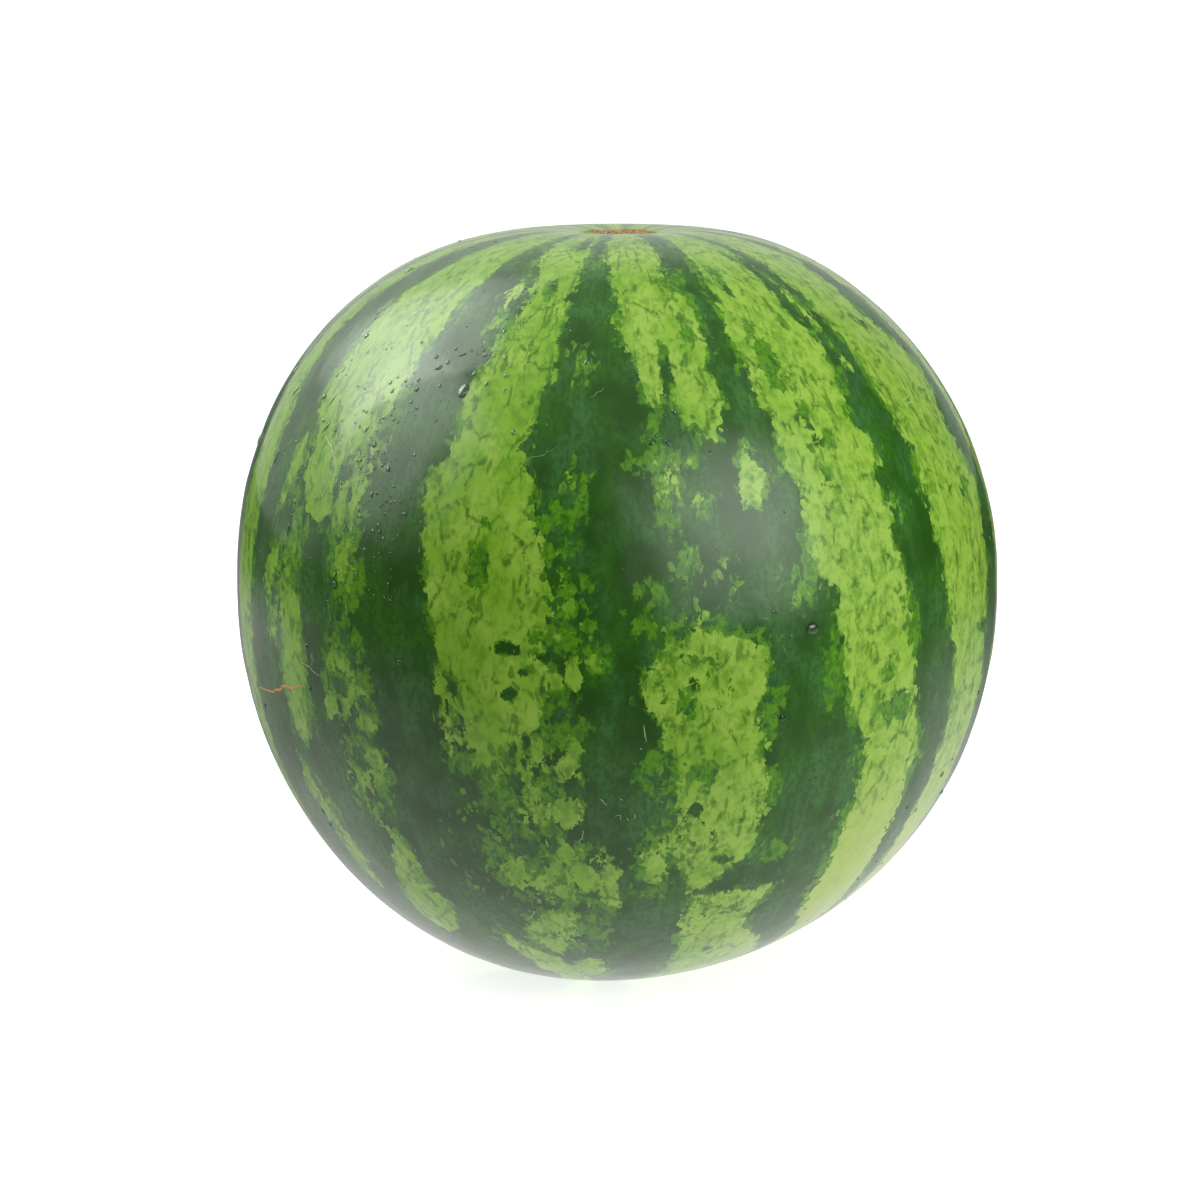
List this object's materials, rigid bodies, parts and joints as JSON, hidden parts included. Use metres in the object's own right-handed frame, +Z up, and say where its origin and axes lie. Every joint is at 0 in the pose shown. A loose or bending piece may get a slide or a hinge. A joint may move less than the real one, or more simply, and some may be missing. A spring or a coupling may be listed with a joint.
{
  "type": "watermelon",
  "caption": "Whole round striped watermelon with a corky scar in the crown, standing on a small flat ring at its base.",
  "frame": {"origin": "centre of the fruit's footprint, on the surface that it stands on", "axes": "+Z up, from the base scar to the scar in the crown; -Y towards the side that the picture shows"},
  "size_m": [0.2494, 0.2507, 0.245],
  "materials": {
    "rind": "semi-gloss waxy rind, light green with ragged dark green stripes from end to end"
  },
  "bodies": {
    "root": {"melon": "rind"}
  },
  "joints": []
}
